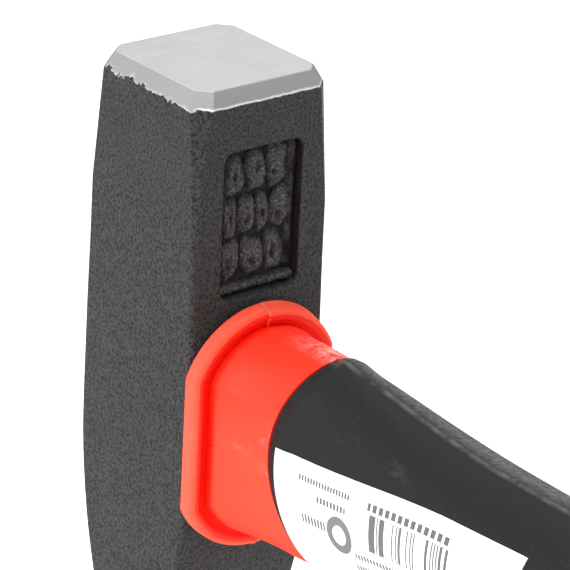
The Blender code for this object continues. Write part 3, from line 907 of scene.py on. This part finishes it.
def makePanelRelief(finish):
    # the floor of the recess with its raised lumps and border
    p = panelSizes
    width, height, gap = p["width"], panelTop - panelLow, 2 * p["wallGap"]
    fieldWidth = width - p["channelFar"] - p["marginFar"]
    fieldHeight = height - p["channelLow"] - p["marginTop"]
    lift = 0.00002  # keeps it off the floor that the head has there
    bm = bmesh.new()
    bmesh.ops.create_grid(bm, x_segments=150, y_segments=230, size=0.5)
    for vert in bm.verts:
        y, z = vert.co.x * (width - gap), vert.co.y * (height - gap)
        across = (y + width / 2 - p["marginFar"]) / fieldWidth
        fromTop = (height / 2 - z - p["marginTop"]) / fieldHeight
        rise = max(lumpHeight(across, fromTop), borderHeight(width / 2 - y, height / 2 + z))
        rough = noise.fractal(Vector((y * 1500, z * 1500, 3.1)), 1.0, 2.0, 3)
        x = panelFloor + lift + p["markHeight"] * rise
        x += p["roughness"] * rough * (0.5 + 1.3 * rise)
        vert.co = (x, y, (panelLow + panelTop) / 2 + z)
    relief = makePiece("panelRelief", bm, finish, smoothAngle=80)
    placePiece(relief)
    print("panel relief made")


def rowOf(start, end, count):
    return [start + (end - start) * step / count for step in range(count + 1)]


def neckRing(share):
    # drawn in quickly behind the rim and more slowly towards the grip
    root = rimOutline(rimSizes["round"] + rimSizes["grooveInset"])
    weight = (1 - share) ** 2

    def point(angle):
        x = rimFront + share * (placeBehind(0, angle) - rimFront)
        reach = weight * root(angle) + (1 - weight) * handleRadius(x, angle, -gripSizes["proud"])
        reach += handleSizes["neckRidge"] * seamShape(angle, reach)
        aside = weight * rimSizes["aside"]
        return x, aside + reach * sin(angle), handleCentre(x) + reach * cos(angle)

    return point


def makeJacket(finish):
    # The rim, the neck, the thin sleeve under the grip and the butt, in one skin. Its hollows are 1
    # in the groove behind the rim and 2 where the neck's root creases it.
    r, h, g = rimSizes, handleSizes, gripSizes
    aside = r["aside"]
    rings = [
        flatRing(rimBack, rimOutline(r["edgeBreak"]), aside),
        flatRing(rimBack + r["edgeBreak"], rimOutline(), aside),
    ]
    for angle in rowOf(0, pi / 2, 10):
        x = rimFront - r["round"] * (1 - sin(angle))
        outline = rimOutline(r["round"] * (1 - cos(angle)))
        rings.append(flatRing(x, outline, aside, r["seam"]))
    hollows = [0.0] * len(rings)
    for share in rowOf(0, 1, 8)[1:]:
        # a hollow sweep from the rim's front down into the groove
        x = rimFront - r["grooveDepth"] * sin(pi / 2 * share)
        outline = rimOutline(r["round"] + r["grooveInset"] * share)
        rings.append(flatRing(x, outline, aside, r["seam"]))
        hollows.append(min(share * 3, 1.0))
    for share in rowOf(0, 1, 44):
        rings.append(neckRing(share))
        hollows.append(2.0 if 0 < share < 0.03 else max(1 - share / 0.09, 0))
    under = -g["thickness"] - g["gap"]
    buttStart = gripEnd + g["gap"] - gripFront
    rings += [handleRing(distance, under) for distance in rowOf(0.0, buttStart, 30)]
    rings.append(handleRing(buttStart, -h["edgeBreak"]))
    rings.append(handleRing(buttStart + h["edgeBreak"]))
    inset = 0.0001
    for angle in rowOf(0, pi / 2 * h["buttRoundShare"], 13):
        distance = buttEnd - gripFront - h["buttRound"] * (1 - sin(angle))
        rings.append(handleRing(distance - inset, -inset - h["buttRound"] * (1 - cos(angle))))
    hollows += [0.0] * (len(rings) - len(hollows))
    bm = growSkin(rings, 300, hollows=hollows)
    jacket = makePiece("redJacket", bm, finish, ["handle_jacket"])
    holeX = buttEnd - h["buttLength"] / 2
    holePlace = Matrix.Translation((holeX, 0, handleCentre(holeX)))
    hole = bmesh.new()
    bmesh.ops.create_cone(
        hole,
        cap_ends=True,
        segments=64,
        radius1=h["hangHole"] / 2,
        radius2=h["hangHole"] / 2,
        depth=0.05,  # longer than the butt is wide
        matrix=holePlace @ Matrix.Rotation(pi / 2, 4, "X"),
    )
    cutWith(jacket, hole, "hangHoleCutter")
    placePiece(jacket)
    print("jacket made")


def beadHeight(distance):
    g = gripSizes
    return g["beadHeight"] * max(1 - (2 * (distance - g["gap"]) / g["beadLength"] - 1) ** 2, 0)


def makeGrip(finish):
    # a sleeve: a rounded lip in front, a bead behind it and a parting ridge along top and belly
    g = gripSizes
    start, end = g["gap"], gripEnd - gripFront
    rings = []
    for share in (0.0, 0.3, 0.65):
        tuck = g["lip"] * (1 - sqrt(1 - (1 - share) ** 2))
        rings.append(handleRing(start + g["lip"] * share, -tuck, g["ridgeHeight"] * share))
    for distance in rowOf(start + g["lip"], end - g["endBreak"], 130):
        rings.append(handleRing(distance, beadHeight(distance), g["ridgeHeight"]))
    rings.append(handleRing(end, -g["endTuck"]))
    rings += [handleRing(distance, -g["thickness"]) for distance in reversed(rowOf(start, end, 24))]
    bm = growSkin(rings, 216, capStart=False, capEnd=False)
    grip = makePiece("rubberGrip", bm, finish, ["rubber_grip"])
    placePiece(grip)
    print("grip made")


labelSizes = {
    "length": 0.0473,
    "height": 0.024,
    "fromFront": 0.0018,
    "topFront": 0.0040,
    "topRear": 0.0066,
    "lift": 0.00014,
    "thickness": 0.00012,
}


def makeLabel(finish):
    # a sheet laid on the side of the grip, from its top edge down and under the belly
    s = labelSizes
    start = gripSizes["gap"] + s["fromFront"]
    bm = bmesh.new()
    bmesh.ops.create_grid(bm, x_segments=80, y_segments=48, size=0.5)
    uv = bm.loops.layers.uv.new("printPlace")
    for face in bm.faces:
        for loop in face.loops:
            loop[uv].uv = (loop.vert.co.x + 0.5) * s["length"], (0.5 - loop.vert.co.y) * s["height"]
    columns = {}
    for vert in bm.verts:
        columns.setdefault(round(vert.co.x * 1000), []).append(vert)
    for verts in columns.values():
        share = verts[0].co.x + 0.5
        distance = start + share * s["length"]
        above = s["topFront"] + (s["topRear"] - s["topFront"]) * share
        lift = beadHeight(distance) + s["lift"]
        angle, turn = 0.0, 0.002
        while handleRadius(placeBehind(distance, angle), angle, lift) * cos(angle) > above:
            angle += turn
        travelled = 0.0
        ring = handleRing(distance, lift)
        for vert in sorted(verts, key=lambda v: -v.co.y):
            down = (0.5 - vert.co.y) * s["height"]
            while travelled < down:
                travelled += (Vector(ring(angle + turn)) - Vector(ring(angle))).length
                angle += turn
            x, y, z = ring(angle)
            vert.co = (x, -y, z)
    label = makePiece("printedLabel", bm, finish, ["label"])
    skin = label.modifiers.new("thickness", "SOLIDIFY")
    skin.thickness = s["thickness"]
    skin.offset = 1.0
    applyModifiers(label)
    placePiece(label)
    print("label made")


resinSizes = {
    "setback": 0.0007,
    "gap": 0.0003,
    "edgeDip": 0.0002,
    "middleDip": 0.0003,
}


def makeResin(finish):
    # fills the eye, a little below its mouth on the far side of the handle and dished in the middle
    h, r = headSizes, resinSizes
    face = r["setback"] - headSide
    width, height = h["eyeWidth"] - 2 * r["gap"], h["eyeHeight"] - 2 * r["gap"]

    def section(x, share):
        return flatRing(x, oval(width * share, height * share, 2.0))

    rings = [section(face + r["middleDip"], 0.55), section(face + r["edgeDip"], 0.8)]
    rings += [section(face, 1), section(headSide, 1)]
    resin = makePiece("resinFill", growSkin(rings, 64), finish, ["eye_resin"])
    placePiece(resin)
    print("resin made")


def makeFloor():
    finish, _, shader = newFinish("paleFloor")
    shader.inputs["Base Color"].default_value = (0.93, 0.93, 0.93, 1)
    shader.inputs["Roughness"].default_value = 0.8
    bm = bmesh.new()
    bmesh.ops.create_grid(bm, x_segments=1, y_segments=1, size=4.0)
    mesh = bpy.data.meshes.new("floor")
    bm.to_mesh(mesh)
    bm.free()
    mesh.materials.append(finish)
    ground = bpy.data.objects.new("floor", mesh)
    bpy.context.scene.collection.objects.link(ground)


stageLights = {
    "surroundings": 0.55,
    # where each stands from the head, its size and its power
    "leftSoftbox": ((-0.1, -1.25, 0.5), (0.8, 0.8), 24),
    "topSoftbox": ((0.1, 0.4, 1.4), (1.2, 1.2), 26),
}


def addSoftbox(name, position, target, size, power):
    light = bpy.data.lights.new(name, "AREA")
    light.shape = "RECTANGLE"
    light.size, light.size_y = size
    light.energy = power
    lamp = bpy.data.objects.new(name, light)
    lamp.location = position
    lamp.rotation_euler = (Vector(target) - Vector(position)).to_track_quat("-Z", "Y").to_euler()
    bpy.context.scene.collection.objects.link(lamp)


def lightStage():
    world = bpy.data.worlds.new("studio")
    world.use_nodes = True
    background = world.node_tree.nodes["Background"].inputs
    background["Color"].default_value = (1, 1, 1, 1)
    background["Strength"].default_value = stageLights["surroundings"]
    bpy.context.scene.world = world
    bpy.context.scene.view_settings.view_transform = "Standard"
    head = hammerPlace @ Vector((0, 0, -0.04))
    for name in ("leftSoftbox", "topSoftbox"):
        offset, size, power = stageLights[name]
        addSoftbox(name, head + Vector(offset), head, size, power)


cameraSetup = {
    "azimuth": 50.18,
    "elevation": 24.06,
    "roll": 3.19,
    "distance": 0.4265,
    "aside": -0.00943,
    "above": 0.0303,
    "lens": 202.1,
}


def addCamera():
    # turned and placed in the hammer's own axes, and then leaned back with it
    c = cameraSetup
    az, el, roll = radians(c["azimuth"]), radians(c["elevation"]), radians(c["roll"])
    back = Vector((sin(az) * cos(el), -cos(az) * cos(el), sin(el)))
    level = Vector((cos(az), sin(az), 0))
    rising = back.cross(level)
    right = level * cos(roll) + rising * sin(roll)
    up = rising * cos(roll) - level * sin(roll)
    spot = back * c["distance"] - right * c["aside"] - up * c["above"]
    turn = Matrix((right, up, back)).transposed().to_4x4()
    data = bpy.data.cameras.new("mainCamera")
    data.lens = c["lens"]
    data.sensor_width = 36
    camera = bpy.data.objects.new("mainCamera", data)
    camera.matrix_world = hammerPlace @ Matrix.Translation(spot) @ turn
    bpy.context.scene.collection.objects.link(camera)
    bpy.context.scene.camera = camera


addCamera()
lightStage()
makeFloor()
sharedGroups = {"axes": makeAxesGroup(), "wear": makeWearGroup()}
paintedForging = forgedHeadFinish(sharedGroups)
makeHead(paintedForging)
makePanelRelief(paintedForging)
makeResin(resinFinish(sharedGroups))
makeJacket(redPlasticFinish(sharedGroups))
makeGrip(rubberFinish(sharedGroups))
makeLabel(paperFinish())
rod = frame["nodes"]["core_rod"]  # kept from the CAD, with a finish of its own
rod.data.materials.clear()
rod.data.materials.append(fibreglassFinish(sharedGroups))
print("all pieces made")
